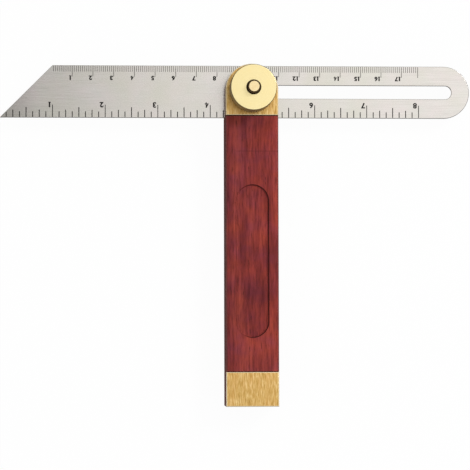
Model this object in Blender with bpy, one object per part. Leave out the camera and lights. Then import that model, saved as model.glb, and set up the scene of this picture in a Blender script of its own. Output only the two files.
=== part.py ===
"""A sliding bevel: a hardwood stock, sawn down its middle, that grips a slotted steel blade
on a clamping stud with a knurled thumb nut.

The tool lies on its back. The stud's axis is X = Y = 0 and the back of the stock is Z = 0.
+X runs along the blade to its round end and +Y to the head of the stock. Metres throughout.
"""

import math

import bmesh
import bpy

# Stock: one stick of wood, round at the head about the stud, rounded along its long edges
STOCK_WIDTH = 0.0254
STOCK_THICKNESS = 0.020
STOCK_DROP = 0.152
STOCK_ARRIS = 0.0012

# Finger recess, the same in both faces of the stock
RECESS_DROP = 0.0456
RECESS_LENGTH = 0.0734
RECESS_WIDTH = 0.0158
RECESS_DEPTH = 0.0012

# Brass plates, let in flush with the faces of the stock
PLATE_THICKNESS = 0.0024
PLATE_ARRIS = 0.0005
BOLSTER_DROP = 0.0122
HEEL_PLATE_LENGTH = 0.0166

# Pins, pressed into blind holes in the wood and into sockets in the back of each plate
PIN_DIAMETER = 0.002
PIN_LENGTH = 0.005
PIN_CHAMFER = 0.0003
PIN_SOCKET_DEPTH = 0.0008
PIN_SIDE_INSET = 0.0042
PIN_END_INSET = 0.0037

# Blade: stainless rule, with its rest place given by how far the point stands from the stud,
# and its slot by what is spare behind the stud's neck and by the wall at the round end
BLADE_LENGTH = 0.228
BLADE_WIDTH = 0.0254
BLADE_THICKNESS = 0.0014
BLADE_EDGE_BREAK = 0.00015
BLADE_POINT_REACH = 0.1213
BLADE_POINT_ANGLE = math.radians(45)
SLOT_SPARE = 0.00295
SLOT_END_WALL = 0.0086

# Kerf: the saw cut that holds the blade, which stops short of the heel plates
KERF_END_WALL = 0.0034

# Clamp stud: flush head at the back, flatted neck in the blade's slot, thread for the nut
STUD_THREAD_DIAMETER = 0.0058
STUD_END_CHAMFER = 0.0004
STUD_END_PROUD = 0.0038
STUD_HEAD_DIAMETER = 0.012
STUD_HEAD_THICKNESS = 0.0014
STUD_HEAD_CHAMFER = 0.0002
STUD_NECK_DIAMETER = 0.008
STUD_NECK_LAND = 0.0001
STUD_NECK_SHORT = 0.0002

# Washer and thumb nut
WASHER_DIAMETER = 0.016
WASHER_THICKNESS = 0.001
WASHER_CHAMFER = 0.00015
NUT_DIAMETER = 0.022
NUT_HEIGHT = 0.0114
NUT_CHAMFER = 0.0004
NUT_COUNTERSINK_DIAMETER = 0.0072
KNURL_DEPTH = 0.0003
KNURL_TEETH = 72

# Clearances
SEAT_GAP = 0.0003
BLADE_CLEARANCE = 0.0003
NECK_CLEARANCE = 0.0002
TURNING_CLEARANCE = 0.0003
THREAD_CLEARANCE = 0.0002
PIN_CLEARANCE = 0.0001
CUT_OVERRUN = 0.001

# Facets
HALF_TURN_STEPS = 32
BORE_STEPS = 48
PIN_STEPS = 16
ROUND_STEPS = 4
SMOOTH_ANGLE = math.radians(30)

# Sizes that follow from the ones above
HALF_WIDTH = STOCK_WIDTH / 2
BLADE_MIDDLE = STOCK_THICKNESS / 2
BLADE_TOP = BLADE_MIDDLE + BLADE_THICKNESS / 2
KERF_HALF_HEIGHT = BLADE_THICKNESS / 2 + BLADE_CLEARANCE
KERF_DROP = STOCK_DROP - HEEL_PLATE_LENGTH - KERF_END_WALL
REBATE_DEPTH = PLATE_THICKNESS + SEAT_GAP
HEEL_PLATE_TOP = HEEL_PLATE_LENGTH - STOCK_DROP
STUD_FLAT_HALF_WIDTH = STUD_THREAD_DIAMETER / 2 + STUD_NECK_LAND
SLOT_WIDTH = 2 * (STUD_FLAT_HALF_WIDTH + NECK_CLEARANCE)
THREAD_PASS_RADIUS = STUD_THREAD_DIAMETER / 2 + TURNING_CLEARANCE
NECK_PASS_RADIUS = STUD_NECK_DIAMETER / 2 + TURNING_CLEARANCE
WASHER_BASE = STOCK_THICKNESS + SEAT_GAP
NUT_BASE = WASHER_BASE + WASHER_THICKNESS + SEAT_GAP
STUD_END = NUT_BASE + NUT_HEIGHT + STUD_END_PROUD
PIN_PLACES = {
    "bolster": PIN_END_INSET - BOLSTER_DROP,
    "heel": HEEL_PLATE_TOP - HEEL_PLATE_LENGTH / 2,
}
PIN_SIDES = {"left": PIN_SIDE_INSET - HALF_WIDTH, "right": HALF_WIDTH - PIN_SIDE_INSET}


def clear_scene():
    for old in list(bpy.data.objects):
        bpy.data.objects.remove(old, do_unlink=True)


def finish(name, colour, roughness, metallic):
    """A Principled material; the colour is linear RGB."""
    material = bpy.data.materials.new(name)
    material.use_nodes = True
    shader = material.node_tree.nodes["Principled BSDF"]
    shader.inputs["Base Color"].default_value = (*colour, 1.0)
    shader.inputs["Roughness"].default_value = roughness
    shader.inputs["Metallic"].default_value = metallic
    return material


def arc(radius, start, sweep, steps, centre=(0.0, 0.0)):
    """Points along an arc in the plane, with both of its ends."""
    angles = [start + sweep * step / steps for step in range(steps + 1)]
    return [
        (centre[0] + radius * math.cos(angle), centre[1] + radius * math.sin(angle))
        for angle in angles
    ]


def domed_outline(half_width, drop, inset):
    """Anticlockwise outline with a half round top about the stud and a square lower end."""
    radius = half_width - inset
    low = inset - drop
    dome = arc(radius, 0.0, math.pi, HALF_TURN_STEPS)
    return dome + [(-radius, low), (radius, low)]


def square_outline(half_width, low, high, inset=0.0):
    """Anticlockwise rectangle across the stock."""
    side = half_width - inset
    bottom = low + inset
    top = high - inset
    return [(-side, bottom), (side, bottom), (side, top), (-side, top)]


def stadium_outline(first, last, radius):
    """Anticlockwise outline with half round ends about the points first and last."""
    heading = math.atan2(last[1] - first[1], last[0] - first[0])
    far_end = arc(radius, heading - math.pi / 2, math.pi, HALF_TURN_STEPS, last)
    near_end = arc(radius, heading + math.pi / 2, math.pi, HALF_TURN_STEPS, first)
    return far_end + near_end


def at_height(outline, height):
    return [(x, y, height) for x, y in outline]


def circle_ring(radius, height, steps=BORE_STEPS, centre=(0.0, 0.0)):
    angles = [math.tau * step / steps for step in range(steps)]
    return [
        (centre[0] + radius * math.cos(angle), centre[1] + radius * math.sin(angle), height)
        for angle in angles
    ]


def flatted_ring(radius, flat_half_width, height):
    """A circle with two flats, one towards +Y and one towards -Y."""
    return [
        (x, max(-flat_half_width, min(flat_half_width, y)), z)
        for x, y, z in circle_ring(radius, height)
    ]


def knurled_ring(radius, height):
    """A circle whose every second point is a valley between two teeth."""
    crests = circle_ring(radius, height, 2 * KNURL_TEETH)
    valley = (radius - KNURL_DEPTH) / radius
    return [
        (x * valley, y * valley, z) if step % 2 else (x, y, z)
        for step, (x, y, z) in enumerate(crests)
    ]


def rounded_side(low, high, low_round, high_round):
    """(inset, height) pairs up the side of a slab with its lower and upper edges rounded."""
    quarters = [math.pi / 2 * step / ROUND_STEPS for step in range(ROUND_STEPS + 1)]
    lower = [
        (low_round * (1 - math.sin(turn)), low + low_round * (1 - math.cos(turn)))
        for turn in quarters
    ]
    upper = [
        (high_round * (1 - math.sin(turn)), high - high_round * (1 - math.cos(turn)))
        for turn in reversed(quarters)
    ]
    return (lower if low_round else [(0.0, low)]) + (upper if high_round else [(0.0, high)])


def loft(rings, ring_shaped=False, shape=None):
    """Skins a stack of rings of equally many points, anticlockwise seen from above.

    A plain stack rises from its lowest ring and gets two caps. A ring-shaped one climbs its
    outer side and comes down its bore, and its last ring joins its first.
    """
    shape = shape or bmesh.new()
    loops = [[shape.verts.new(point) for point in ring] for ring in rings]
    pairs = list(zip(loops, loops[1:]))
    if ring_shaped:
        pairs.append((loops[-1], loops[0]))
    else:
        shape.faces.new(reversed(loops[0]))
        shape.faces.new(loops[-1])
    for lower, upper in pairs:
        for here in range(len(lower)):
            ahead = (here + 1) % len(lower)
            shape.faces.new((lower[here], lower[ahead], upper[ahead], upper[here]))
    return shape


def add_object(name, shape, parent=None):
    mesh = bpy.data.meshes.new(name)
    shape.to_mesh(mesh)
    shape.free()
    mesh.shade_smooth()
    mesh.set_sharp_from_angle(angle=SMOOTH_ANGLE)
    added = bpy.data.objects.new(name, mesh)
    bpy.context.scene.collection.objects.link(added)
    added.parent = parent
    return added


def add_piece(name, shape, material, parent=None):
    piece = add_object(name, shape, parent)
    piece.data.materials.append(material)
    return piece


def cut(piece, name, shape, parent=None):
    """Takes a shape out of a piece, and keeps the cutter as a wire guide."""
    cutter = add_object(name, shape, parent)
    cutter.display_type = "WIRE"
    cutter.hide_render = True
    boolean = piece.modifiers.new(name, "BOOLEAN")
    boolean.operation = "DIFFERENCE"
    boolean.object = cutter


def add_datum(name, height=0.0, facing_down=False):
    """An empty on the stud's axis. One that faces down is turned over about Y."""
    datum = bpy.data.objects.new(name, None)
    bpy.context.scene.collection.objects.link(datum)
    datum.location.z = height
    datum.rotation_euler.y = math.pi if facing_down else 0.0
    return datum


def make_stock(wood):
    """The stick, with its long edges rounded, sawn down the middle and bored for the stud."""
    side = rounded_side(0.0, STOCK_THICKNESS, STOCK_ARRIS, STOCK_ARRIS)
    rings = [
        at_height(domed_outline(HALF_WIDTH, STOCK_DROP, inset), height)
        for inset, height in side
    ]
    stock = add_piece("stock", loft(rings), wood)

    kerf = square_outline(HALF_WIDTH + CUT_OVERRUN, -KERF_DROP, HALF_WIDTH + CUT_OVERRUN)
    kerf_rings = [
        at_height(kerf, BLADE_MIDDLE - KERF_HALF_HEIGHT),
        at_height(kerf, BLADE_MIDDLE + KERF_HALF_HEIGHT),
    ]
    cut(stock, "stock_kerf", loft(kerf_rings))

    bore_rings = [
        circle_ring(NECK_PASS_RADIUS, -CUT_OVERRUN),
        circle_ring(NECK_PASS_RADIUS, BLADE_MIDDLE),
        circle_ring(THREAD_PASS_RADIUS, BLADE_MIDDLE),
        circle_ring(THREAD_PASS_RADIUS, STOCK_THICKNESS + CUT_OVERRUN),
    ]
    cut(stock, "stock_stud_bore", loft(bore_rings))
    return stock


def cut_stock_face(stock, side, face):
    """Rebates for the two plates, the finger recess and the pin holes of one face."""
    outer = HALF_WIDTH + CUT_OVERRUN
    head_seat = square_outline(outer, -BOLSTER_DROP - SEAT_GAP, outer)
    heel_seat = square_outline(outer, -STOCK_DROP - CUT_OVERRUN, HEEL_PLATE_TOP + SEAT_GAP)
    rebates = bmesh.new()
    for seat in (head_seat, heel_seat):
        loft([at_height(seat, -REBATE_DEPTH), at_height(seat, CUT_OVERRUN)], shape=rebates)
    cut(stock, f"{side}_rebates", rebates, face)

    radius = RECESS_WIDTH / 2
    upper_end = (0.0, -RECESS_DROP - radius)
    lower_end = (0.0, -RECESS_DROP - RECESS_LENGTH + radius)
    recess_side = rounded_side(-RECESS_DEPTH, CUT_OVERRUN, RECESS_DEPTH, 0.0)
    recess_rings = [
        at_height(stadium_outline(lower_end, upper_end, radius - inset), height)
        for inset, height in recess_side
    ]
    cut(stock, f"{side}_finger_recess", loft(recess_rings), face)

    hole_radius = PIN_DIAMETER / 2 + PIN_CLEARANCE
    hole_floor = PIN_SOCKET_DEPTH - PLATE_THICKNESS - PIN_LENGTH - 2 * PIN_CLEARANCE
    holes = bmesh.new()
    for along in PIN_PLACES.values():
        for across in PIN_SIDES.values():
            hole = [
                circle_ring(hole_radius, height, PIN_STEPS, (across, along))
                for height in (hole_floor, 0.0)
            ]
            loft(hole, shape=holes)
    cut(stock, f"{side}_pin_holes", holes, face)


def cut_pin_sockets(plate, name, along, face):
    radius = PIN_DIAMETER / 2 + PIN_CLEARANCE
    sockets = bmesh.new()
    for across in PIN_SIDES.values():
        socket = [
            circle_ring(radius, height, PIN_STEPS, (across, along))
            for height in (-REBATE_DEPTH - CUT_OVERRUN, PIN_SOCKET_DEPTH - PLATE_THICKNESS)
        ]
        loft(socket, shape=sockets)
    cut(plate, f"{name}_pin_sockets", sockets, face)


def make_bolster(side, brass, face):
    """The plate on one face of the head, with its outer edge softened."""
    edge = rounded_side(-PLATE_THICKNESS, 0.0, 0.0, PLATE_ARRIS)
    rings = [
        at_height(domed_outline(HALF_WIDTH, BOLSTER_DROP, inset), height)
        for inset, height in edge
    ]
    name = f"{side}_bolster"
    bolster = add_piece(name, loft(rings), brass, face)
    cut_pin_sockets(bolster, name, PIN_PLACES["bolster"], face)
    return bolster


def bore_front_bolster(bolster, face):
    bore = [
        circle_ring(THREAD_PASS_RADIUS, -PLATE_THICKNESS - CUT_OVERRUN),
        circle_ring(THREAD_PASS_RADIUS, CUT_OVERRUN),
    ]
    cut(bolster, "front_bolster_bore", loft(bore), face)


def bore_back_bolster(bolster, face):
    """A hole for the stud's neck and a counterbore that sinks its head flush."""
    head_radius = STUD_HEAD_DIAMETER / 2 + TURNING_CLEARANCE
    head_floor = -STUD_HEAD_THICKNESS - SEAT_GAP
    bore = [
        circle_ring(NECK_PASS_RADIUS, -PLATE_THICKNESS - CUT_OVERRUN),
        circle_ring(NECK_PASS_RADIUS, head_floor),
        circle_ring(head_radius, head_floor),
        circle_ring(head_radius, CUT_OVERRUN),
    ]
    cut(bolster, "back_bolster_bore", loft(bore), face)


def make_heel_plate(side, brass, face):
    edge = rounded_side(-PLATE_THICKNESS, 0.0, 0.0, PLATE_ARRIS)
    rings = [
        at_height(square_outline(HALF_WIDTH, -STOCK_DROP, HEEL_PLATE_TOP, inset), height)
        for inset, height in edge
    ]
    name = f"{side}_heel_plate"
    plate = add_piece(name, loft(rings), brass, face)
    cut_pin_sockets(plate, name, PIN_PLACES["heel"], face)


def make_pins(side, brass, face):
    """Two pins behind each plate of one face; left and right are as seen facing it."""
    radius = PIN_DIAMETER / 2
    top = PIN_SOCKET_DEPTH - PLATE_THICKNESS - PIN_CLEARANCE
    bottom = top - PIN_LENGTH
    rings = [
        circle_ring(radius - PIN_CHAMFER, bottom, PIN_STEPS),
        circle_ring(radius, bottom + PIN_CHAMFER, PIN_STEPS),
        circle_ring(radius, top, PIN_STEPS),
    ]
    for plate, along in PIN_PLACES.items():
        for hand, across in PIN_SIDES.items():
            pin = add_piece(f"{side}_{plate}_pin_{hand}", loft(rings), brass, face)
            pin.location = (across, along, 0.0)


def make_blade(steel, pivot):
    """The rule, with its edges broken, its 45 degree point at -X and its slot at +X."""
    half_width = BLADE_WIDTH / 2
    round_reach = BLADE_LENGTH - BLADE_POINT_REACH
    point_run = BLADE_WIDTH / math.tan(BLADE_POINT_ANGLE)
    round_end = arc(
        half_width, -math.pi / 2, math.pi, HALF_TURN_STEPS, (round_reach - half_width, 0.0)
    )
    outline = round_end + [
        (point_run - BLADE_POINT_REACH, half_width),
        (-BLADE_POINT_REACH, -half_width),
    ]
    low = BLADE_MIDDLE - BLADE_THICKNESS / 2
    blade = add_piece(
        "blade", loft([at_height(outline, low), at_height(outline, BLADE_TOP)]), steel, pivot
    )
    edges = blade.modifiers.new("broken_edges", "BEVEL")
    edges.width = BLADE_EDGE_BREAK
    edges.segments = 1
    edges.limit_method = "ANGLE"
    edges.angle_limit = SMOOTH_ANGLE

    radius = SLOT_WIDTH / 2
    slot_right = round_reach - SLOT_END_WALL
    slot_left = -STUD_NECK_DIAMETER / 2 - SLOT_SPARE
    slot = stadium_outline((slot_left + radius, 0.0), (slot_right - radius, 0.0), radius)
    slot_rings = [at_height(slot, low - CUT_OVERRUN), at_height(slot, BLADE_TOP + CUT_OVERRUN)]
    cut(blade, "blade_slot", loft(slot_rings), pivot)


def make_clamp_stud(steel, pivot):
    """Head flush in the back plate, neck with two flats that ride in the slot, plain thread.

    The neck stops just short of the blade's upper face, so that the cheeks close on the blade.
    """
    head = STUD_HEAD_DIAMETER / 2
    neck = STUD_NECK_DIAMETER / 2
    thread = STUD_THREAD_DIAMETER / 2
    neck_top = BLADE_TOP - STUD_NECK_SHORT
    rings = [
        circle_ring(head - STUD_HEAD_CHAMFER, 0.0),
        circle_ring(head, STUD_HEAD_CHAMFER),
        circle_ring(head, STUD_HEAD_THICKNESS),
        flatted_ring(neck, STUD_FLAT_HALF_WIDTH, STUD_HEAD_THICKNESS),
        flatted_ring(neck, STUD_FLAT_HALF_WIDTH, neck_top),
        circle_ring(thread, neck_top),
        circle_ring(thread, STUD_END - STUD_END_CHAMFER),
        circle_ring(thread - STUD_END_CHAMFER, STUD_END),
    ]
    add_piece("clamp_stud", loft(rings), steel, pivot)


def make_nut_washer(brass, pivot):
    bore = STUD_THREAD_DIAMETER / 2 + TURNING_CLEARANCE
    rim = WASHER_DIAMETER / 2
    rings = [
        circle_ring(bore, 0.0),
        circle_ring(rim - WASHER_CHAMFER, 0.0),
        circle_ring(rim, WASHER_CHAMFER),
        circle_ring(rim, WASHER_THICKNESS - WASHER_CHAMFER),
        circle_ring(rim - WASHER_CHAMFER, WASHER_THICKNESS),
        circle_ring(bore, WASHER_THICKNESS),
    ]
    washer = add_piece("nut_washer", loft(rings, ring_shaped=True), brass, pivot)
    washer.location.z = WASHER_BASE


def make_thumb_nut(brass, pivot):
    """A disc with a straight knurl round its rim and a countersunk hole in its plain face."""
    steps = 2 * KNURL_TEETH
    bore = STUD_THREAD_DIAMETER / 2 + THREAD_CLEARANCE
    rim = NUT_DIAMETER / 2
    face = rim - KNURL_DEPTH - NUT_CHAMFER
    countersink = NUT_COUNTERSINK_DIAMETER / 2
    knurl_low = KNURL_DEPTH + NUT_CHAMFER
    knurl_high = NUT_HEIGHT - NUT_CHAMFER
    rings = [
        circle_ring(bore, 0.0, steps),
        circle_ring(face, 0.0, steps),
        knurled_ring(rim, knurl_low),
        knurled_ring(rim, knurl_high),
        circle_ring(face, NUT_HEIGHT, steps),
        circle_ring(countersink, NUT_HEIGHT, steps),
        circle_ring(bore, NUT_HEIGHT - countersink + bore, steps),
    ]
    nut = add_piece("thumb_nut", loft(rings, ring_shaped=True), brass, pivot)
    nut.location.z = NUT_BASE


def build():
    clear_scene()
    wood = finish("red_hardwood", (0.24, 0.045, 0.038), 0.45, 0.0)
    plate_brass = finish("brushed_plate_brass", (0.68, 0.45, 0.17), 0.35, 1.0)
    nut_brass = finish("polished_nut_brass", (0.90, 0.72, 0.35), 0.25, 1.0)
    pin_brass = finish("pin_brass", (0.60, 0.40, 0.15), 0.4, 1.0)
    blade_steel = finish("brushed_stainless", (0.66, 0.64, 0.60), 0.35, 1.0)
    stud_brass = finish("turned_stud_brass", (0.85, 0.65, 0.32), 0.3, 1.0)

    stock = make_stock(wood)
    faces = {
        "front": add_datum("front_face", STOCK_THICKNESS),
        "back": add_datum("back_face", 0.0, facing_down=True),
    }
    bolsters = {}
    for side, face in faces.items():
        cut_stock_face(stock, side, face)
        bolsters[side] = make_bolster(side, plate_brass, face)
        make_heel_plate(side, plate_brass, face)
        make_pins(side, pin_brass, face)
    bore_front_bolster(bolsters["front"], faces["front"])
    bore_back_bolster(bolsters["back"], faces["back"])

    pivot = add_datum("blade_pivot")
    make_blade(blade_steel, pivot)
    make_clamp_stud(stud_brass, pivot)
    make_nut_washer(nut_brass, pivot)
    make_thumb_nut(nut_brass, pivot)


build()
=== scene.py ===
import math

import bmesh
import bpy
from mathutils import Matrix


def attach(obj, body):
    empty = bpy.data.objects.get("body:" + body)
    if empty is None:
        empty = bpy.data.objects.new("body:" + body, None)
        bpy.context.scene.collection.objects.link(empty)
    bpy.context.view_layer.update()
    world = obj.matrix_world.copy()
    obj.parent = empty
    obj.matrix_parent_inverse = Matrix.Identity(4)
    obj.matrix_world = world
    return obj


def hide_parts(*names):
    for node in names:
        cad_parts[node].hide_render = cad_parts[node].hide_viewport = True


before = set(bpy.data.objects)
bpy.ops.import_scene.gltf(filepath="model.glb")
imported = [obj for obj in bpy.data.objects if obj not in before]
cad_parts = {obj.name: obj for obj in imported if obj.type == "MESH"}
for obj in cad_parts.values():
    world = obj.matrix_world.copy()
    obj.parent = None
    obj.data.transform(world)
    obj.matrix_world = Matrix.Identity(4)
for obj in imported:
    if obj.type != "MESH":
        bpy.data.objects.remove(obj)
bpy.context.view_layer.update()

# Stock
# One stick of red hardwood with rounded long edges and a half round head. It is sawn down its
# middle for the blade, let in for four brass plates, bored for the stud and its pins, and has a
# shallow routed finger recess in each face. The wood is oiled to a satin shine.
stock_half_width = 0.0127
stock_thickness = 0.020
stock_drop = 0.152
stock_edge_round = 0.0012
stock_middle = stock_thickness / 2
kerf_half_height = 0.001
kerf_floor = -0.132
plate_thickness = 0.0024
seat_gap = 0.0003
bolster_drop = 0.0122
heel_top = -0.1354
recess_top = -0.0456
recess_length = 0.0734
recess_radius = 0.0079
recess_depth = 0.0012
recess_floor_round = 0.0008
recess_rim = 0.00015
neck_bore_radius = 0.0043
thread_bore_radius = 0.0032
pin_bore_radius = 0.0011
pin_bore_floor = 0.0132
pin_offset = 0.0085
bolster_pin_row = -0.0085
heel_pin_row = -0.1437
pin_places = [
    (side * pin_offset, row) for side in (-1, 1) for row in (bolster_pin_row, heel_pin_row)
]
cut_overrun = 0.001
rod_sides = 96
round_end_sides = 128
pin_bore_sides = 24
wood_round_steps = 6
straight_on = 0.99
flat_angle = 0.001
tiny = 1e-6


def take(*pieces):
    """Makes these the only selected objects, and the first of them the active one."""
    bpy.ops.object.select_all(action="DESELECT")
    for piece in pieces:
        piece.select_set(True)
    if pieces:
        bpy.context.view_layer.objects.active = pieces[0]


def settle(name):
    """Names the new primitive and puts its place, turn and size into its mesh."""
    piece = bpy.context.object
    piece.name = name
    piece.data.name = name
    bpy.ops.object.transform_apply(location=True, rotation=True, scale=True)
    return piece


def add_block(name, low, high):
    """A block between two corners."""
    take()
    middle = [(a + b) / 2 for a, b in zip(low, high)]
    bpy.ops.mesh.primitive_cube_add(size=1, location=middle)
    bpy.context.object.scale = [b - a for a, b in zip(low, high)]
    return settle(name)


def add_rod(name, radius, low, high, sides=rod_sides, centre=(0.0, 0.0)):
    """A round bar between two heights, with the middle of each flat at the radius."""
    take()
    bpy.ops.mesh.primitive_cylinder_add(
        vertices=sides,
        radius=radius / math.cos(math.pi / sides),
        depth=high - low,
        location=(*centre, (low + high) / 2),
        rotation=(0, 0, math.pi / sides),
    )
    return settle(name)


def choose(piece, kind, wanted):
    """Opens a piece in edit mode with only the vertices, edges or faces selected that are wanted."""
    take(piece)
    bpy.ops.object.mode_set(mode="EDIT")
    bpy.ops.mesh.select_mode(type=kind)
    bpy.ops.mesh.select_all(action="DESELECT")
    shape = bmesh.from_edit_mesh(piece.data)
    for part in {"VERT": shape.verts, "EDGE": shape.edges, "FACE": shape.faces}[kind]:
        if wanted(part):
            part.select_set(True)
    shape.select_flush_mode()
    bmesh.update_edit_mesh(piece.data)


def leave():
    """Closes edit mode."""
    bpy.ops.object.mode_set(mode="OBJECT")


def lies_at(part, axis, *places):
    """Whether all of an edge or face lies in one of these planes."""
    return any(all(abs(vert.co[axis] - place) < tiny for vert in part.verts) for place in places)


def add_slug(name, radius, first, last, low, high):
    """A bar with half round ends about two points in the plane."""
    slug = add_rod(name, radius, low, high, centre=first)
    run = (last[0] - first[0], last[1] - first[1])
    choose(
        slug,
        "VERT",
        lambda vert: (vert.co.x - first[0]) * run[0] + (vert.co.y - first[1]) * run[1] > 0,
    )
    bpy.ops.transform.translate(value=(*run, 0))
    leave()
    return slug


def add_domed(name, half_width, drop, low, high, axis=1, centre=(0.0, 0.0)):
    """A bar with a half round end that looks along X (0) or Y (1), drawn out square behind it."""
    domed = add_rod(name, half_width, low, high, round_end_sides, centre)
    middle = (*centre, 0)
    outward = [float(number == axis) for number in range(3)]
    choose(domed, "FACE", lambda face: True)
    bpy.ops.mesh.bisect(plane_co=middle, plane_no=outward, use_fill=True, clear_inner=True)
    leave()
    choose(
        domed,
        "FACE",
        lambda face: face.normal[axis] < -straight_on and lies_at(face, axis, middle[axis]),
    )
    bpy.ops.mesh.extrude_region_move(
        TRANSFORM_OT_translate={"value": [-drop * part for part in outward]}
    )
    bpy.ops.mesh.select_all(action="SELECT")
    bpy.ops.mesh.dissolve_limited(angle_limit=flat_angle)
    leave()
    return domed


def round_off(piece, width, segments, wanted):
    """Rounds the wanted edges of a piece."""
    choose(piece, "EDGE", wanted)
    bpy.ops.mesh.bevel(offset=width, segments=segments, profile=0.5, affect="EDGES")
    leave()


def join_up(pieces):
    """Joins pieces that don't touch into the first of them."""
    take(*pieces)
    bpy.ops.object.join()
    return pieces[0]


def cut_away(piece, cutter, keep_finish=False):
    """Cuts a shape out of a piece, leaves its finish in the cut if asked, and deletes the cutter."""
    take(piece)
    cut = piece.modifiers.new("cut", "BOOLEAN")
    cut.operation = "DIFFERENCE"
    cut.solver = "EXACT"
    cut.material_mode = "TRANSFER" if keep_finish else "INDEX"
    cut.object = cutter
    bpy.ops.object.modifier_apply(modifier=cut.name)
    bpy.data.objects.remove(cutter, do_unlink=True)


def merge(piece, other):
    """Makes another shape one with a piece."""
    take(piece)
    union = piece.modifiers.new("union", "BOOLEAN")
    union.operation = "UNION"
    union.solver = "EXACT"
    union.object = other
    bpy.ops.object.modifier_apply(modifier=union.name)
    bpy.data.objects.remove(other, do_unlink=True)


def copy_for_back(piece, name):
    """A copy with its own mesh, turned about the stock's length to the same place on its back."""
    take(piece)
    bpy.ops.object.duplicate()
    bpy.context.object.rotation_euler = (0, math.pi, 0)
    bpy.context.object.location = (0, 0, stock_thickness)
    return settle(name)


def shade(piece, degrees=40):
    """Smooth shading with its sharp edges kept and its flat faces left flat."""
    take(piece)
    bpy.ops.object.shade_smooth_by_angle(angle=math.radians(degrees))
    flats = piece.modifiers.new("flats", "WEIGHTED_NORMAL")
    flats.weight = 100
    flats.keep_sharp = True
    bpy.ops.object.modifier_apply(modifier=flats.name)


def dress(piece, material):
    """Gives a piece its one finish."""
    piece.data.materials.clear()
    piece.data.materials.append(material)


stock_stick = add_domed("stock_stick", stock_half_width, stock_drop, 0, stock_thickness)
round_off(
    stock_stick, stock_edge_round, wood_round_steps,
    lambda edge: lies_at(edge, 2, 0, stock_thickness),
)

outer = stock_half_width + cut_overrun
rebate_floor = stock_thickness - plate_thickness - seat_gap
rebates = [
    add_block(
        "head_rebate",
        (-outer, -bolster_drop - seat_gap, rebate_floor),
        (outer, outer, stock_thickness + cut_overrun),
    ),
    add_block(
        "heel_rebate",
        (-outer, -stock_drop - cut_overrun, rebate_floor),
        (outer, heel_top + seat_gap, stock_thickness + cut_overrun),
    ),
]
rebates += [copy_for_back(rebate, "back_rebate") for rebate in rebates]
cut_away(stock_stick, join_up(rebates))

kerf = add_block(
    "kerf",
    (-outer, kerf_floor, stock_middle - kerf_half_height),
    (outer, outer, stock_middle + kerf_half_height),
)
cut_away(stock_stick, kerf)

recess = add_slug(
    "finger_recess",
    recess_radius + 2 * recess_rim,
    (0, recess_top - recess_radius),
    (0, recess_top - recess_length + recess_radius),
    stock_thickness + recess_rim,
    stock_thickness + cut_overrun,
)
choose(recess, "FACE", lambda face: face.normal.z < -straight_on)
bpy.ops.mesh.inset(thickness=2 * recess_rim, depth=2 * recess_rim)
bpy.ops.mesh.extrude_region_move(
    TRANSFORM_OT_translate={"value": (0, 0, recess_rim - recess_depth)}
)
leave()
round_off(
    recess,
    recess_floor_round,
    wood_round_steps,
    lambda edge: lies_at(edge, 2, stock_thickness - recess_depth),
)
cut_away(stock_stick, join_up([recess, copy_for_back(recess, "back_recess")]))

pin_bores = [
    add_rod("pin_bore", pin_bore_radius, pin_bore_floor, stock_thickness, pin_bore_sides, place)
    for place in pin_places
]
pin_bores += [copy_for_back(bore, "back_pin_bore") for bore in pin_bores]
cut_away(stock_stick, join_up(pin_bores))
cut_away(stock_stick, add_rod("neck_bore", neck_bore_radius, -cut_overrun, stock_middle))
cut_away(
    stock_stick,
    add_rod("thread_bore", thread_bore_radius, stock_middle, stock_thickness + cut_overrun),
)
shade(stock_stick)


def new_material(name):
    """A material with its node tree and its Principled shader."""
    material = bpy.data.materials.new(name)
    material.use_nodes = True
    tree = material.node_tree
    return material, tree, tree.nodes["Principled BSDF"]


def wire(tree, node, inputs):
    """Wires or sets the inputs of a node that are named or numbered."""
    for socket, value in inputs.items():
        if isinstance(value, bpy.types.NodeSocket):
            tree.links.new(value, node.inputs[socket])
        else:
            node.inputs[socket].default_value = value


def put(tree, kind, inputs=(), **settings):
    """Adds a node with its settings and its inputs."""
    node = tree.nodes.new(kind)
    for name, value in settings.items():
        setattr(node, name, value)
    wire(tree, node, dict(inputs))
    return node


def put_ramp(tree, factor, *stops):
    """A colour ramp from (place, colour) stops."""
    ramp = put(tree, "ShaderNodeValToRGB", {"Fac": factor})
    elements = ramp.color_ramp.elements
    while len(elements) < len(stops):
        elements.new(0.5)
    for element, (place, colour) in zip(elements, stops):
        element.position = place
        element.color = (*colour, 1.0)
    return ramp.outputs["Color"]


def put_range(tree, value, low, high, to_low, to_high):
    """Maps a value from one range to another, held inside it."""
    mapped = put(
        tree,
        "ShaderNodeMapRange",
        {"Value": value, "From Min": low, "From Max": high, "To Min": to_low, "To Max": to_high},
    )
    return mapped.outputs["Result"]


def put_mix(tree, factor, first, second, way="MIX"):
    """Mixes two colours."""
    inputs = {0: factor, 6: first, 7: second}
    return put(tree, "ShaderNodeMix", inputs, data_type="RGBA", blend_type=way).outputs[2]


def put_stain(tree, colour, cover_colour, mask, share):
    """Covers a colour with another (real tarnish or blotches in some finishes, painted shade or
    highlight in others), by a share where the mask is 1 and not at all where it is 0.
    """
    return put_mix(tree, put_range(tree, mask, 0.0, 1.0, 0.0, share), colour, cover_colour)


def put_math(tree, operation, *values):
    """The result of one step of arithmetic."""
    return put(tree, "ShaderNodeMath", enumerate(values), operation=operation).outputs[0]


def put_vector(tree, operation, *values):
    """The vector that one step of vector arithmetic gives."""
    return put(tree, "ShaderNodeVectorMath", enumerate(values), operation=operation).outputs[0]


def put_parts(tree, output):
    """X, Y and Z of where a point lies (Object) or of where its face looks (Normal)."""
    vector = put(tree, "ShaderNodeTexCoord").outputs[output]
    return put(tree, "ShaderNodeSeparateXYZ", {0: vector}).outputs


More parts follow.
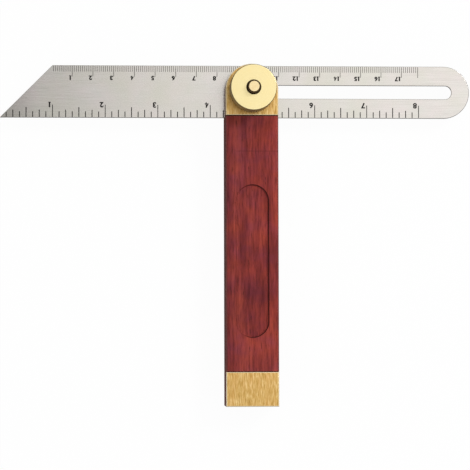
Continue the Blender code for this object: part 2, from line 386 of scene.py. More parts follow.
def put_bump(tree, height, distance, strength=1.0, normal=None):
    """A bump, on top of another one if a normal is given."""
    inputs = {"Height": height, "Distance": distance, "Strength": strength}
    if normal:
        inputs["Normal"] = normal
    return put(tree, "ShaderNodeBump", inputs).outputs["Normal"]


def new_group(name, inputs, outputs):
    """A node group, what comes in through its named inputs, and its outputs, all of them values."""
    group = bpy.data.node_groups.new(name, "ShaderNodeTree")
    for socket, kind in inputs.items():
        group.interface.new_socket(socket, in_out="INPUT", socket_type=kind)
    for socket in outputs:
        group.interface.new_socket(socket, in_out="OUTPUT", socket_type="NodeSocketFloat")
    return group, put(group, "NodeGroupInput").outputs, put(group, "NodeGroupOutput").inputs


# Drawn out streaks, for wood grain and for brushed metal. Scale is how many to a metre each way.
streaks_group, given, result = new_group(
    "streaks", {"Scale": "NodeSocketVector", "Waver": "NodeSocketFloat"}, ("Fine", "Broad")
)
place = put(streaks_group, "ShaderNodeTexCoord").outputs["Object"]
sway = put(streaks_group, "ShaderNodeTexNoise", {"Vector": place, "Scale": 45.0, "Detail": 2.0})
sway = put_vector(streaks_group, "SUBTRACT", sway.outputs["Color"], (0.5, 0.5, 0.5))
sway = put(
    streaks_group, "ShaderNodeVectorMath", {0: sway, "Scale": given["Waver"]}, operation="SCALE"
).outputs[0]
swayed = put_vector(streaks_group, "ADD", place, sway)
drawn = put_vector(streaks_group, "MULTIPLY", swayed, given["Scale"])
for output, scale, detail, roughness in (("Fine", 1.0, 4.0, 0.6), ("Broad", 0.22, 2.0, 0.5)):
    streak_noise = put(
        streaks_group, "ShaderNodeTexNoise",
        {"Vector": drawn, "Scale": scale, "Detail": detail, "Roughness": roughness},
    )
    streaks_group.links.new(streak_noise.outputs["Fac"], result[output])

# Uneven patches, for handling marks and tarnish. Scale is how many to a metre.
patches_group, given, result = new_group("patches", {"Scale": "NodeSocketFloat"}, ("Patches",))
place = put(patches_group, "ShaderNodeTexCoord").outputs["Object"]
patch_noise = put(
    patches_group, "ShaderNodeTexNoise",
    {"Vector": place, "Scale": given["Scale"], "Detail": 3.0, "Roughness": 0.55},
)
patch_share = put_range(patches_group, patch_noise.outputs["Fac"], 0.3, 0.7, 0.0, 1.0)
patches_group.links.new(patch_share, result["Patches"])

# How far a face is turned from lying flat, from 0 to 1, for painted shade on sides and in corners and
# painted highlights on edges.
upright_group, _, result = new_group("upright", {}, ("Upright",))
flatness = put_math(upright_group, "ABSOLUTE", put_parts(upright_group, "Normal")["Z"])
turned_up = put_math(upright_group, "SUBTRACT", 1.0, flatness)
upright_group.links.new(turned_up, result["Upright"])


def put_upright(tree, low, high):
    """A mask that is 0 on flat faces and 1 on upright ones, and passes between two turns."""
    node = put(tree, "ShaderNodeGroup", node_tree=upright_group)
    return put_range(tree, node.outputs["Upright"], low, high, 0.0, 1.0)


def put_streaks(tree, scale, waver=0.0):
    """The fine and the broad streaks."""
    node = put(tree, "ShaderNodeGroup", {"Scale": scale, "Waver": waver}, node_tree=streaks_group)
    return node.outputs["Fine"], node.outputs["Broad"]


def put_patches(tree, scale):
    """The patches' mask."""
    return put(tree, "ShaderNodeGroup", {"Scale": scale}, node_tree=patches_group).outputs["Patches"]


width_reach = 0.011
edge_band = (0.0095, 0.011)
step_line_along = -0.0295
step_line_fade = (0.00012, 0.00045)
step_line_left_end = (-0.0095, -0.0065)
step_line_face = (0.0190, 0.0195)
pore_dark = (0.055, 0.012, 0.010, 1.0)
step_shadow_colour = (0.080, 0.014, 0.012, 1.0)
sheen_pale = (0.170, 0.066, 0.056, 1.0)
recess_shade_colour = (0.050, 0.011, 0.010, 1.0)
side_shade_colour = (0.080, 0.035, 0.028, 1.0)

oiled_wood, tree, shader = new_material("oiled_red_hardwood")
grain, figure = put_streaks(tree, (900.0, 85.0, 900.0), 0.0012)
pores, _ = put_streaks(tree, (2600.0, 150.0, 2600.0), 0.0006)
wood_patches = put_patches(tree, 55.0)
wood_hues = put_patches(tree, 130.0)
parts = put_parts(tree, "Object")
turn = put_parts(tree, "Normal")
# Cooler and darker towards the stock's left side, warmer and lighter towards its right.
rightward_share = put_range(tree, parts["X"], -width_reach, width_reach, 0.0, 1.0)
wood_colour = put_ramp(
    tree, figure, (0.30, (0.175, 0.027, 0.026)), (0.48, (0.240, 0.037, 0.033)),
    (0.66, (0.330, 0.056, 0.045)),
)
for mask, *stops in (
    (grain, (0.30, (0.58, 0.53, 0.53)), (0.50, (0.97, 0.96, 0.96)), (0.72, (1.30, 1.30, 1.30))),
    (rightward_share, (0.0, (0.86, 0.88, 0.96)), (1.0, (1.10, 1.07, 1.02))),
    (wood_patches, (0.0, (0.82, 0.82, 0.87)), (1.0, (1.22, 1.20, 1.12))),
    (wood_hues, (0.0, (0.90, 0.96, 1.30)), (0.5, (1.0, 1.0, 1.0)), (1.0, (1.12, 1.10, 0.86))),
):
    wood_colour = put_mix(tree, 1.0, wood_colour, put_ramp(tree, mask, *stops), "MULTIPLY")
pore_share = put_range(tree, pores, 0.60, 0.72, 0.0, 1.0)
wood_colour = put_mix(tree, pore_share, wood_colour, pore_dark)
# A thin dark line across the front face, fading out at the left edge, is painted shadow: the shade of a
# shallow milled step that is not modelled.
step_line_off = put_math(tree, "ABSOLUTE", put_math(tree, "SUBTRACT", parts["Y"], step_line_along))
step_shadow_line = put_range(tree, step_line_off, *step_line_fade, 0.45, 0.0)
for reach in (
    put_range(tree, parts["X"], *step_line_left_end, 0.0, 1.0),
    put_range(tree, parts["Z"], *step_line_face, 0.0, 1.0),
    put_range(tree, wood_hues, 0.0, 1.0, 0.5, 1.0),
):
    step_shadow_line = put_math(tree, "MULTIPLY", step_shadow_line, reach)
wood_colour = put_mix(tree, step_shadow_line, wood_colour, step_shadow_colour)
across = put_math(tree, "ABSOLUTE", parts["X"])
# A paler grey-brown line on the rounded long edges is a painted sheen, where the arris catches the
# light.
arris_sheen_mask = put_math(
    tree, "MULTIPLY", put_range(tree, across, *edge_band, 0.0, 0.5), put_upright(tree, 0.03, 0.25)
)
wood_colour = put_mix(tree, arris_sheen_mask, wood_colour, sheen_pale)
# Upright walls inside the stock's edges, the finger recess's walls above all, are painted dark as shade,
# least where they face right towards the lamps.
recess_shade_mask = put_math(
    tree, "MULTIPLY", put_range(tree, across, *edge_band, 0.8, 0.0), put_upright(tree, 0.05, 0.3)
)
recess_shade_mask = put_math(
    tree, "MULTIPLY", recess_shade_mask, put_range(tree, turn["X"], 0.0, 0.35, 1.0, 0.15)
)
wood_colour = put_mix(tree, recess_shade_mask, wood_colour, recess_shade_colour)
# The stock's upright sides are painted darker as shade; the same mask makes them rough.
wood_sides = put_upright(tree, 0.5, 0.9)
wood_colour = put_stain(tree, wood_colour, side_shade_colour, wood_sides, 0.7)
wood_shine = put_range(tree, wood_patches, 0.0, 1.0, 0.50, 0.62)
grain_bump = put_bump(tree, grain, 0.00008, 0.6)
wire(tree, shader, {
    "Base Color": wood_colour,
    "Roughness": put_math(tree, "MAXIMUM", wood_shine, wood_sides),
    "Specular IOR Level": 0.08,
    "Normal": put_bump(tree, pore_share, -0.00006, 0.8, grain_bump),
})
dress(stock_stick, oiled_wood)

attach(stock_stick, "stock")
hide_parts("stock")

# Bolsters
# Two brass plates cut from sheet, let in flush on the faces of the head and round about the
# stud. The front one is bored for the stud's thread, the back one for its neck and counterbored
# for its head. Both are brushed along the stock and held by two pins from behind.
plate_edge_round = 0.0005
plate_round_steps = 5
plate_floor = stock_thickness - plate_thickness
pin_socket_depth = 0.0008
bore_break = 0.0002
stud_head_sink = 0.0017
stud_head_bore_radius = 0.0063


def open_sockets(plate, row):
    """Blind holes in the back of a plate for its two pins."""
    sockets = [
        add_rod(
            "socket", pin_bore_radius, plate_floor - cut_overrun, plate_floor + pin_socket_depth,
            pin_bore_sides, (side * pin_offset, row),
        )
        for side in (-1, 1)
    ]
    cut_away(plate, join_up(sockets))


def add_flared_bore(name, radius, floor, face, break_width):
    """A cutter for a round hole down from a face, which breaks the hole's rim as well."""
    bore = add_rod(name, radius + 2 * break_width, face + break_width, face + cut_overrun)
    choose(bore, "FACE", lambda part: part.normal.z < -straight_on)
    bpy.ops.mesh.inset(thickness=2 * break_width, depth=2 * break_width)
    bpy.ops.mesh.extrude_region_move(
        TRANSFORM_OT_translate={"value": (0, 0, floor - face + break_width)}
    )
    leave()
    return bore


front_bolster = add_domed(
    "front_bolster_plate", stock_half_width, bolster_drop, plate_floor, stock_thickness
)
round_off(
    front_bolster, plate_edge_round, plate_round_steps,
    lambda edge: lies_at(edge, 2, stock_thickness),
)
open_sockets(front_bolster, bolster_pin_row)
back_bolster = copy_for_back(front_bolster, "back_bolster_plate")
cut_away(
    front_bolster,
    add_flared_bore(
        "thread_bore", thread_bore_radius, plate_floor - cut_overrun, stock_thickness, bore_break
    ),
)
cut_away(
    back_bolster, add_rod("neck_bore", neck_bore_radius, -cut_overrun, plate_thickness + cut_overrun)
)
cut_away(
    back_bolster, add_rod("head_bore", stud_head_bore_radius, -cut_overrun, stud_head_sink)
)

broad_orange = (0.72, 0.40, 0.13, 1.0)
tarnish_brown = (0.60, 0.40, 0.12, 1.0)
highlight_pale = (1.0, 0.86, 0.58, 1.0)
plate_dark = (0.10, 0.052, 0.020, 1.0)

plate_brass, tree, shader = new_material("brushed_plate_brass")
brush, brush_broad = put_streaks(tree, (1900.0, 230.0, 1900.0), 0.0002)
brass_colour = put_ramp(
    tree, brush, (0.34, (0.42, 0.225, 0.050)), (0.50, (0.67, 0.425, 0.135)),
    (0.66, (0.95, 0.70, 0.34)),
)
broad_share = put_range(tree, brush_broad, 0.35, 0.65, 0.0, 0.45)
brass_colour = put_mix(tree, broad_share, brass_colour, broad_orange)
brass_colour = put_stain(tree, brass_colour, tarnish_brown, put_patches(tree, 140.0), 0.25)
# The first turn of every broken edge is painted pale and made less metallic: a painted highlight along
# the plates' edges.
edge_highlight_mask = put_upright(tree, 0.004, 0.04)
brass_colour = put_stain(tree, brass_colour, highlight_pale, edge_highlight_mask, 0.9)
# The lower half of edges that face down the stock, and the plates' upright sides, are painted dark as
# shade.
lower_side = put_range(tree, put_parts(tree, "Normal")["Y"], -0.5, -0.3, 1.0, 0.0)
lower_edge_shade = put_math(tree, "MULTIPLY", put_upright(tree, 0.2, 0.4), lower_side)
plate_shade_mask = put_math(tree, "MAXIMUM", lower_edge_shade, put_upright(tree, 0.5, 0.8))
wire(tree, shader, {
    "Base Color": put_stain(tree, brass_colour, plate_dark, plate_shade_mask, 0.85),
    "Metallic": put_range(tree, edge_highlight_mask, 0.0, 1.0, 1.0, 0.25),
    "Specular IOR Level": 0.1,
    "Roughness": put_range(tree, brush, 0.3, 0.7, 0.30, 0.44),
    "Normal": put_bump(tree, brush, 0.00003, 0.5),
})

for bolster, node in ((front_bolster, "front_bolster"), (back_bolster, "back_bolster")):
    shade(bolster)
    dress(bolster, plate_brass)
    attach(bolster, "stock")
    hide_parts(node)

# Heel plates
# Two square brass plates of the same sheet, let in flush on both faces of the other end, with
# their outer edges softened and two pins behind each.
front_heel = add_block(
    "front_heel_cap",
    (-stock_half_width, -stock_drop, plate_floor),
    (stock_half_width, heel_top, stock_thickness),
)
round_off(
    front_heel, plate_edge_round, plate_round_steps,
    lambda edge: lies_at(edge, 2, stock_thickness),
)
open_sockets(front_heel, heel_pin_row)
back_heel = copy_for_back(front_heel, "back_heel_cap")
for heel, node in ((front_heel, "front_heel_plate"), (back_heel, "back_heel_plate")):
    shade(heel)
    dress(heel, plate_brass)
    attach(heel, "stock")
    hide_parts(node)

# Plate pins
# Eight short lengths of drawn brass wire, pressed into blind holes in the wood and into sockets
# in the backs of the plates. The CAD solids stay, and get the finish of drawn wire.
pin_brass, tree, shader = new_material("drawn_pin_brass")
draw_lines, _ = put_streaks(tree, (4000.0, 4000.0, 160.0))
wire(tree, shader, {
    "Base Color": put_ramp(tree, draw_lines, (0.3, (0.48, 0.31, 0.11)), (0.7, (0.68, 0.46, 0.18))),
    "Metallic": 1.0,
    "Roughness": put_range(tree, draw_lines, 0.3, 0.7, 0.32, 0.48),
    "Normal": put_bump(tree, draw_lines, 0.00001, 0.4),
})
for face in ("front", "back"):
    for plate in ("bolster", "heel"):
        for hand in ("left", "right"):
            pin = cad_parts[f"{face}_{plate}_pin_{hand}"]
            dress(pin, pin_brass)

# Blade
# A stainless rule with a 45 degree point at one end and a round one at the other, slotted for
# the stud and brushed along its length. Its centimetre and inch scales are etched and blackened.
blade_half_width = 0.0127
blade_low = 0.0093
blade_high = 0.0107
blade_point = -0.1213
blade_round_reach = 0.1067
blade_edge_break = 0.00026
blade_tip_break = 0.00023
edge_break_steps = 3
tip_break_steps = 2
point_reach = 0.0007
slot_half_width = 0.0032
slot_left = -0.00695
slot_right = 0.09805

round_centre = blade_round_reach - blade_half_width
blade = add_domed(
    "slotted_rule", blade_half_width, round_centre - blade_point, blade_low, blade_high,
    axis=0, centre=(round_centre, 0),
)
choose(blade, "VERT", lambda vert: vert.co.x < blade_point + tiny and vert.co.y > 0)
bpy.ops.transform.translate(value=(2 * blade_half_width, 0, 0))
leave()
round_off(
    blade,
    blade_tip_break,
    tip_break_steps,
    lambda edge: all(vert.co.x < blade_point + tiny for vert in edge.verts),
)
cut_away(
    blade,
    add_slug(
        "slot",
        slot_half_width,
        (slot_left + slot_half_width, 0),
        (slot_right - slot_half_width, 0),
        blade_low - cut_overrun,
        blade_high + cut_overrun,
    ),
)
round_off(
    blade,
    blade_edge_break,
    edge_break_steps,
    lambda edge: lies_at(edge, 2, blade_low, blade_high) and edge.calc_face_angle(0) > 1,
)

# The point is rounded less than its edges are broken, so the inner rings of the break meet there
# in one corner each, at the same distance from both edges.
half_point_angle = math.pi / 8
level_margin = 5 * tiny
for inward in (blade_edge_break / 2, blade_edge_break):
    level_drop = blade_edge_break - math.sqrt(inward * (2 * blade_edge_break - inward))
    for level in (blade_low + level_drop, blade_high - level_drop):
        choose(
            blade,
            "VERT",
            lambda vert: vert.co.x < blade_point + point_reach and abs(vert.co.z - level) < level_margin,
        )
        bpy.ops.mesh.merge(type="CENTER")
        leave()
        corner = min(
            (vert for vert in blade.data.vertices if abs(vert.co.z - level) < level_margin),
            key=lambda vert: vert.co.x,
        )
        corner.co = (
            blade_point + inward / math.tan(half_point_angle), inward - blade_half_width, level
        )

etch_depth = 0.00004
etch_floor = blade_high - etch_depth
cutter_half = (blade_high + cut_overrun - etch_floor) / 2
upper_edge = 1
lower_edge = -1
tick_margin = 0.00028
millimetre = 0.001
cm_zero = -0.0964
cm_count = 17
mm_tick_width = 0.00021
mm_tick_length = 0.0031
cm_tick_width = 0.00024
cm_tick_length = 0.0055
inch = 0.0254
inch_count = 8
inch_tick_width = 0.00037
inch_tick_length = 0.0063
half_tick_length = 0.0051
quarter_tick_length = 0.0038
eighth_tick_length = 0.0030
first_eighth_length = 0.0025
eighth_tick_width = 0.00044
cm_numeral_height = 0.0022
cm_numeral_top = 0.0077
inch_numeral_height = 0.0027
inch_numeral_top = -0.0051
numeral_gap = 0.0003
digit_share = 0.69
digit_space = 0.09
stroke_spread = 0.00012
round_spread = 0.00010
stroke_shift = 0.00014
foot_share = 0.48
foot_height = 0.00036
four_width = 0.70
four_stroke = 0.18
four_bar = 0.20

etched_black, tree, shader = new_material("etched_black")
soot = put_patches(tree, 900.0)
wire(tree, shader, {
    "Base Color": put_ramp(tree, soot, (0.0, (0.009, 0.008, 0.008)), (1.0, (0.024, 0.022, 0.021))),
    "Roughness": put_range(tree, soot, 0.0, 1.0, 0.60, 0.80),
    "Specular IOR Level": 0.15,
})


def add_ticks(place, edge_side, width, length, *repeats):
    """A tick from the blade's upper (1) or lower (-1) edge inwards, repeated along the blade."""
    edge = edge_side * (blade_half_width - tick_margin)
    inner = edge_side * (blade_half_width - length)
    tick = add_block(
        "ticks",
        (place - width / 2, min(edge, inner), etch_floor),
        (place + width / 2, max(edge, inner), blade_high + cut_overrun),
    )
    for count, step in repeats:
        row = tick.modifiers.new("row", "ARRAY")
        row.count = count
        row.use_relative_offset = False
        row.use_constant_offset = True
        row.constant_offset_displace = (step, 0, 0)
        bpy.ops.object.modifier_apply(modifier=row.name)
    return tick


def add_four(height):
    """A 4 of three strokes, because the font's own one folds over itself when it is spread."""
    width = four_width * height
    stroke = four_stroke * height
    stem_left = width - 2 * stroke
    bar_low = four_bar * height
    four = add_block("four", (stem_left, 0, -cutter_half), (stem_left + stroke, height, cutter_half))
    bar = add_block("bar", (0, bar_low, -cutter_half), (width, bar_low + stroke, cutter_half))
    run = (stem_left, height - bar_low - stroke)
    take()
    bpy.ops.mesh.primitive_cube_add(
        size=1,
        location=((stem_left + stroke) / 2, (bar_low + height) / 2, 0),
        rotation=(0, 0, math.atan2(run[1], run[0])),
    )
    bpy.context.object.scale = (math.hypot(*run), stroke, 2 * cutter_half)
    for other in (settle("slope"), bar):
        merge(four, other)
    return four


def weld(piece):
    """Makes the vertices that lie in one place one."""
    choose(piece, "VERT", lambda vert: True)
    bpy.ops.mesh.remove_doubles(threshold=tiny / 10)
    leave()


def embolden(digit):
    """Widens a digit's strokes with a second copy of it a little to the side."""
    weld(digit)
    take(digit)
    bpy.ops.object.duplicate()
    beside = bpy.context.object
    beside.location.x += stroke_shift
    merge(digit, beside)
    return digit


def add_numeral(words, height, right, top):
    """Digits turned half round, as they stand on the rule, which run left from a right edge."""
    digits = []
    bars = []
    for digit in words:
        if digit == "4":
            text = add_four(height)
        else:
            take()
            bpy.ops.object.text_add()
            text = bpy.context.object
            text.data.body = digit
            spread = round_spread if digit in "0689" else stroke_spread
            text.data.size = (height - 2 * spread) / digit_share
            text.data.resolution_u = 3
            text.data.offset = spread
            text.data.extrude = cutter_half
            bpy.ops.object.convert(target="MESH")
            text = embolden(text)
        corners = [vert.co for vert in text.data.vertices]
        start = min(corner.x for corner in corners)
        end = max(corner.x for corner in corners)
        base = min(corner.y for corner in corners)
        if digit == "1":
            stem = [corner.x for corner in corners if corner.y < base + tiny]
            stem_middle = (min(stem) + max(stem)) / 2
            start = stem_middle - foot_share * height / 2
            end = stem_middle + foot_share * height / 2
            bars.append(
                add_block(
                    "foot",
                    (right - foot_share * height, top - foot_height, etch_floor - etch_depth / 10),
                    (right, top, blade_high + cut_overrun),
                )
            )
        text.rotation_euler = (0, 0, math.pi)
        text.location = (right + start, top + base, etch_floor + cutter_half)
        take(text)
        settle("digit")
        weld(text)
        digits.append(text)
        right -= end - start + digit_space * height
    return digits, bars


marks = [
    add_ticks(cm_zero + start * millimetre, upper_edge, width, length, *repeats)
    for start, width, length, *repeats in (
        (1, mm_tick_width, mm_tick_length, (9, millimetre), (cm_count, 10 * millimetre)),
        (10 * cm_count + 1, mm_tick_width, mm_tick_length, (7, millimetre)),
        (10, cm_tick_width, cm_tick_length, (cm_count, 10 * millimetre)),
        (10 * cm_count + 8, cm_tick_width, cm_tick_length),
    )
]
marks += [
    add_ticks(blade_point + start * inch, lower_edge, width, length, *repeats)
    for start, width, length, *repeats in (
        (1 / 8, eighth_tick_width, first_eighth_length),
        (3 / 8, eighth_tick_width, eighth_tick_length, (4 * inch_count - 1, inch / 4)),
        (1 / 4, eighth_tick_width, quarter_tick_length, (2 * inch_count, inch / 2)),
        (1 / 2, eighth_tick_width, half_tick_length, (inch_count, inch)),
        (1, inch_tick_width, inch_tick_length, (inch_count, inch)),
    )
]
feet = []
for number in range(1, cm_count + 1):
    right = cm_zero + 10 * number * millimetre - cm_tick_width / 2 - numeral_gap
    digits, bars = add_numeral(str(number), cm_numeral_height, right, cm_numeral_top)
    marks += digits
    feet += bars
for number in range(1, inch_count + 1):
    right = blade_point + number * inch - inch_tick_width / 2 - 2 * numeral_gap
    digits, bars = add_numeral(str(number), inch_numeral_height, right, inch_numeral_top)
    marks += digits
    feet += bars
marks = join_up(marks)
feet = join_up(feet)
dress(marks, etched_black)
dress(feet, etched_black)

point_band = (-0.119, -0.103)
blotch_warm = (0.755, 0.655, 0.655, 1.0)
patch_olive = (0.63, 0.62, 0.525, 1.0)
point_shade_colour = (0.35, 0.33, 0.31, 1.0)
edge_dark = (0.045, 0.038, 0.034, 1.0)

brushed_steel, tree, shader = new_material("brushed_blade_steel")
brush, _ = put_streaks(tree, (60.0, 5200.0, 5200.0), 0.0002)
steel_colour = put_ramp(
    tree, brush, (0.32, (0.60, 0.575, 0.54)), (0.50, (0.67, 0.645, 0.61)),
    (0.68, (0.74, 0.72, 0.68)),
)
steel_colour = put_stain(tree, steel_colour, blotch_warm, put_patches(tree, 150.0), 0.5)
steel_colour = put_stain(tree, steel_colour, patch_olive, put_patches(tree, 60.0), 0.6)
# The blade is painted darker towards its point, as shade.
point_shade_share = put_range(tree, put_parts(tree, "Object")["X"], *point_band, 0.5, 0.0)
steel_colour = put_mix(tree, point_shade_share, steel_colour, point_shade_colour)
# The broken edges and the slot's walls are painted near black and barely metallic as shade, less where
# they face left or towards the upper edge.
turn = put_parts(tree, "Normal")
facing_side = put_math(tree, "MULTIPLY_ADD", turn["X"], -0.8, turn["Y"])
shade_by_facing = put_range(tree, facing_side, 0.1, 0.5, 1.0, 0.3)
steel_shade_mask = put_math(tree, "MULTIPLY", put_upright(tree, 0.005, 0.06), shade_by_facing)
wire(tree, shader, {
    "Base Color": put_stain(tree, steel_colour, edge_dark, steel_shade_mask, 0.95),
    "Metallic": put_range(tree, steel_shade_mask, 0.0, 1.0, 1.0, 0.15),
    "Specular IOR Level": 0.1,
    "Roughness": put_range(tree, brush, 0.3, 0.7, 0.20, 0.28),
    "Normal": put_bump(tree, brush, 0.00001, 0.25),
})
dress(blade, brushed_steel)
cut_away(blade, marks, keep_finish=True)
cut_away(blade, feet, keep_finish=True)
shade(blade)

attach(blade, "blade")
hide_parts("blade")

# Clamp stud
# Turned from brass bar: a thin head that lies flush in the back bolster, a neck with two milled
# flats that ride in the blade's slot, and an M6 thread with a chamfered end for the thumb nut.
stud_head_radius = 0.006
stud_head_thickness = 0.0014
stud_head_chamfer = 0.0002
small_chamfer_steps = 2
stud_neck_radius = 0.004
stud_neck_top = 0.0105
stud_flat = 0.003
stud_thread_radius = 0.0029
stud_thread_depth = 0.00045
stud_thread_pitch = 0.001
stud_thread_start = 0.0115
stud_end = 0.0368
stud_end_chamfer = 0.00045
stud_steps = 64
thread_cuts = 14
groove_half_share = 0.42


def step_up(inset, rise):
    """Narrows the selected top face and draws it up."""
    bpy.ops.mesh.inset(thickness=inset, depth=0)
    bpy.ops.mesh.extrude_region_move(TRANSFORM_OT_translate={"value": (0, 0, rise)})


stud = add_rod("threaded_stud", stud_head_radius, 0, stud_head_thickness, stud_steps)
choose(stud, "FACE", lambda face: face.normal.z > straight_on)
step_up(stud_head_radius - stud_neck_radius, stud_neck_top - stud_head_thickness)
step_up(stud_neck_radius - stud_thread_radius, stud_thread_start - stud_neck_top)
bpy.ops.mesh.extrude_region_move(
    TRANSFORM_OT_translate={"value": (0, 0, stud_end - stud_thread_start)}
)
leave()
round_off(stud, stud_head_chamfer, small_chamfer_steps, lambda edge: lies_at(edge, 2, 0))
for side in (-1, 1):
    low_y, high_y = sorted((side * stud_flat, side * 2 * stud_flat))
    cut_away(
        stud,
        add_block(
            "flat",
            (-stud_head_radius, low_y, stud_head_thickness),
            (stud_head_radius, high_y, stud_neck_top + seat_gap),
        ),
    )

for _ in range(2):
    choose(
        stud,
        "EDGE",
        lambda edge: min(v.co.z for v in edge.verts) > stud_thread_start - tiny
        and abs(edge.verts[0].co.z - edge.verts[1].co.z) > tiny,
    )
    bpy.ops.mesh.subdivide(number_cuts=thread_cuts)
    leave()
for vert in stud.data.vertices:
    if vert.co.z < stud_thread_start + tiny:
        continue
    turn = math.atan2(vert.co.y, vert.co.x) / math.tau
    along = (vert.co.z / stud_thread_pitch - turn) % 1.0
    groove = max(0.0, 1.0 - abs(along - 0.5) / groove_half_share)
    start = min(1.0, (vert.co.z - stud_thread_start) / stud_thread_pitch)
    radius = stud_thread_radius - stud_thread_depth * groove * start
    radius = min(radius, stud_thread_radius - stud_end_chamfer + stud_end - vert.co.z)
    share = radius / math.hypot(vert.co.x, vert.co.y)
    vert.co.x *= share
    vert.co.y *= share
shade(stud, degrees=25)

# Rings left by a lathe tool, centred on the stud's axis.
turned_group, given, result = new_group(
    "turned_rings", {"Rings per metre": "NodeSocketFloat"}, ("Rings",)
)
parts = put_parts(turned_group, "Object")
across = put(turned_group, "ShaderNodeCombineXYZ", {0: parts["X"], 1: parts["Y"]}).outputs[0]
from_axis = put(turned_group, "ShaderNodeVectorMath", {0: across}, operation="LENGTH")
ring_noise = put(
    turned_group, "ShaderNodeTexNoise",
    {"W": from_axis.outputs["Value"], "Scale": given["Rings per metre"], "Detail": 3.0},
    noise_dimensions="1D",
)
turned_group.links.new(ring_noise.outputs["Fac"], result["Rings"])


def put_turned(tree, rings_per_metre):
    """The lathe's rings."""
    inputs = {"Rings per metre": rings_per_metre}
    return put(tree, "ShaderNodeGroup", inputs, node_tree=turned_group).outputs["Rings"]


stud_shade_colour = (0.060, 0.029, 0.007, 1.0)

stud_brass, tree, shader = new_material("turned_stud_brass")
rings = put_turned(tree, 9000.0)
stud_patches = put_patches(tree, 700.0)
stud_colour = put_ramp(tree, stud_patches, (0.0, (0.84, 0.65, 0.34)), (1.0, (0.93, 0.76, 0.44)))
# The stud's upright faces, its thread among them, are painted near black and barely metallic as shade.
stud_side_shade = put_upright(tree, 0.08, 0.25)
wire(tree, shader, {
    "Base Color": put_stain(tree, stud_colour, stud_shade_colour, stud_side_shade, 0.96),
    "Metallic": put_range(tree, stud_side_shade, 0.0, 1.0, 1.0, 0.15),
    "Specular IOR Level": 0.1,
    "Roughness": put_range(tree, rings, 0.3, 0.7, 0.28, 0.42),
    "Normal": put_bump(tree, rings, 0.00001, 0.4),
})
dress(stud, stud_brass)

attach(stud, "clamp_stud")
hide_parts("clamp_stud")

# Nut washer
# A plain brass washer with broken edges, which keeps the nut from scoring the front bolster.
washer_radius = 0.008
washer_low = 0.0203
washer_high = 0.0213
washer_chamfer = 0.00015
washer = add_rod("turned_washer", washer_radius, washer_low, washer_high)
round_off(
    washer, washer_chamfer, small_chamfer_steps,
    lambda edge: lies_at(edge, 2, washer_low, washer_high),
)
cut_away(
    washer,
    add_flared_bore(
        "washer_bore", thread_bore_radius, washer_low - cut_overrun, washer_high, bore_break / 2
    ),
)
shade(washer)

face_tarnish = (0.925, 0.76, 0.37, 1.0)
chamfer_dark = (0.050, 0.024, 0.006, 1.0)
rim_brown = (0.19, 0.118, 0.038, 1.0)

nut_brass, tree, shader = new_material("faced_nut_brass")
rings = put_turned(tree, 5000.0)
nut_patches = put_patches(tree, 330.0)
nut_colour = put_ramp(tree, rings, (0.3, (0.88, 0.73, 0.375)), (0.7, (0.965, 0.83, 0.455)))
nut_colour = put_stain(tree, nut_colour, face_tarnish, nut_patches, 0.5)
# Chamfers and upright walls are painted dark: dark oil in the knurl, and painted shade on the chamfers
# and the rim.
nut_oil_and_shade = put_upright(tree, 0.02, 0.12)
rim_colour = put_mix(tree, put_upright(tree, 0.45, 0.85), chamfer_dark, rim_brown)
wire(tree, shader, {
    "Base Color": put_stain(tree, nut_colour, rim_colour, nut_oil_and_shade, 0.96),
    "Metallic": put_range(tree, nut_oil_and_shade, 0.0, 1.0, 1.0, 0.2),
    "Specular IOR Level": 0.1,
    "Roughness": put_range(tree, nut_patches, 0.0, 1.0, 0.28, 0.38),
    "Normal": put_bump(tree, rings, 0.00001, 0.3),
})
dress(washer, nut_brass)

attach(washer, "nut_washer")
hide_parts("nut_washer")

# Thumb nut
# A disc turned from brass bar and faced off smooth, with a straight knurl rolled round its rim
# for the fingers, both rim edges chamfered, and a countersunk M6 hole.
nut_radius = 0.011
nut_low = 0.0216
nut_high = 0.033
nut_chamfer = 0.0004
nut_chamfer_steps = 3
nut_bore_radius = 0.0031
nut_countersink_radius = 0.0036
knurl_teeth = 100
knurl_depth = 0.00025

nut = add_rod("knurled_nut", nut_radius, nut_low, nut_high, 2 * knurl_teeth)
round_off(nut, nut_chamfer, nut_chamfer_steps, lambda edge: lies_at(edge, 2, nut_low, nut_high))
choose(
    nut,
    "VERT",
    lambda vert: math.hypot(vert.co.x, vert.co.y) > nut_radius - tiny
    and round(math.atan2(vert.co.y, vert.co.x) / math.pi * knurl_teeth - 0.5) % 2 == 0,
)
valley = 1 - knurl_depth / nut_radius
bpy.ops.transform.resize(value=(valley, valley, 1), center_override=(0, 0, 0))
leave()
cut_away(
    nut,
    add_flared_bore(
        "nut_bore",
        nut_bore_radius,
        nut_low - cut_overrun,
        nut_high,
        nut_countersink_radius - nut_bore_radius,
    ),
)
shade(nut)
dress(nut, nut_brass)

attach(nut, "thumb_nut")
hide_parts("thumb_nut")

# Floor, light and camera
# A white floor that stays white behind the object and keeps a faint shadow, an even world, three
# lamps (a large soft box above on the right, a key lamp behind it and a fill lamp from the front
# left), and the camera where the photograph was taken from.
floor_size = 6
floor_colour = (0.95, 0.95, 0.95, 1.0)
white = (1.0, 1.0, 1.0, 1.0)
glow_share = 0.96
world_light = 0.41
world_shown = 1.0

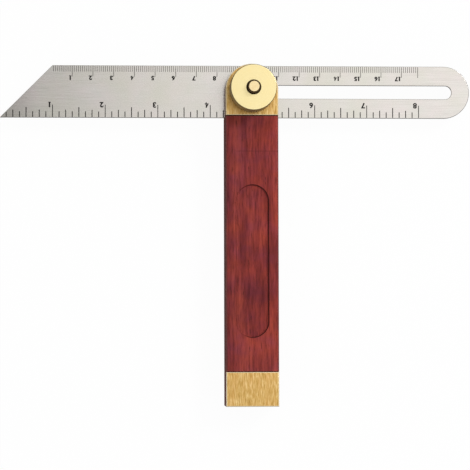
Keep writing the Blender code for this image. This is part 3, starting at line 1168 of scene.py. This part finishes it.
take()
bpy.ops.mesh.primitive_plane_add(size=floor_size, location=(0, 0, 0))
floor = bpy.context.object
floor.name = "floor"
floor_white = bpy.data.materials.new("floor_white")
floor_white.use_nodes = True
tree = floor_white.node_tree
tree.nodes.clear()
rays = put(tree, "ShaderNodeLightPath").outputs
seen = put_math(tree, "MAXIMUM", rays["Is Camera Ray"], rays["Is Glossy Ray"])
seen = put_math(tree, "MAXIMUM", seen, rays["Is Transmission Ray"])
share = put_math(tree, "MULTIPLY", seen, glow_share)
matt = put(tree, "ShaderNodeBsdfDiffuse", {"Color": floor_colour})
glow = put(tree, "ShaderNodeEmission", {"Color": white, "Strength": 1.0})
both = put(tree, "ShaderNodeMixShader", {0: share, 1: matt.outputs[0], 2: glow.outputs[0]})
put(tree, "ShaderNodeOutputMaterial", {"Surface": both.outputs[0]})
floor.data.materials.append(floor_white)

world = bpy.data.worlds.new("even_world")
bpy.context.scene.world = world
world.use_nodes = True
tree = world.node_tree
rays = put(tree, "ShaderNodeLightPath").outputs
wire(tree, tree.nodes["Background"], {
    "Color": white,
    "Strength": put_range(tree, rays["Is Camera Ray"], 0.0, 1.0, world_light, world_shown),
})


def add_lamp(name, shape, size, power, place, turn=(0, 0)):
    """An area lamp that looks straight down, or is turned by degrees about X and Y."""
    lamp = bpy.data.lights.new(name, "AREA")
    lamp.shape = shape
    lamp.size, lamp.size_y = size
    lamp.energy = power
    lamp_object = bpy.data.objects.new(name, lamp)
    bpy.context.scene.collection.objects.link(lamp_object)
    lamp_object.location = place
    lamp_object.rotation_euler = (math.radians(turn[0]), math.radians(turn[1]), 0)


add_lamp("soft_box", "RECTANGLE", (1.78, 2.46), 9.7, (0.785, 0.07, 1.3))
add_lamp("key", "DISK", (0.48, 0.48), 11.7, (1.03, 0.75, 1.5), (-26.6, 32.3))
add_lamp("fill", "DISK", (1.2, 1.2), 3.2, (-1.0, -0.95, 0.95), (43, -38))

camera = bpy.data.cameras.new("camera")
camera.sensor_width = 36
camera.lens = 162.1
camera.clip_start = 0.01
camera_object = bpy.data.objects.new("camera", camera)
bpy.context.scene.collection.objects.link(camera_object)
camera_object.location = (-0.06722, -0.11136, 1.03175)
camera_object.rotation_euler = (0.0411, -0.05798, -0.00261)
bpy.context.scene.camera = camera_object
bpy.context.scene.view_settings.view_transform = "Standard"
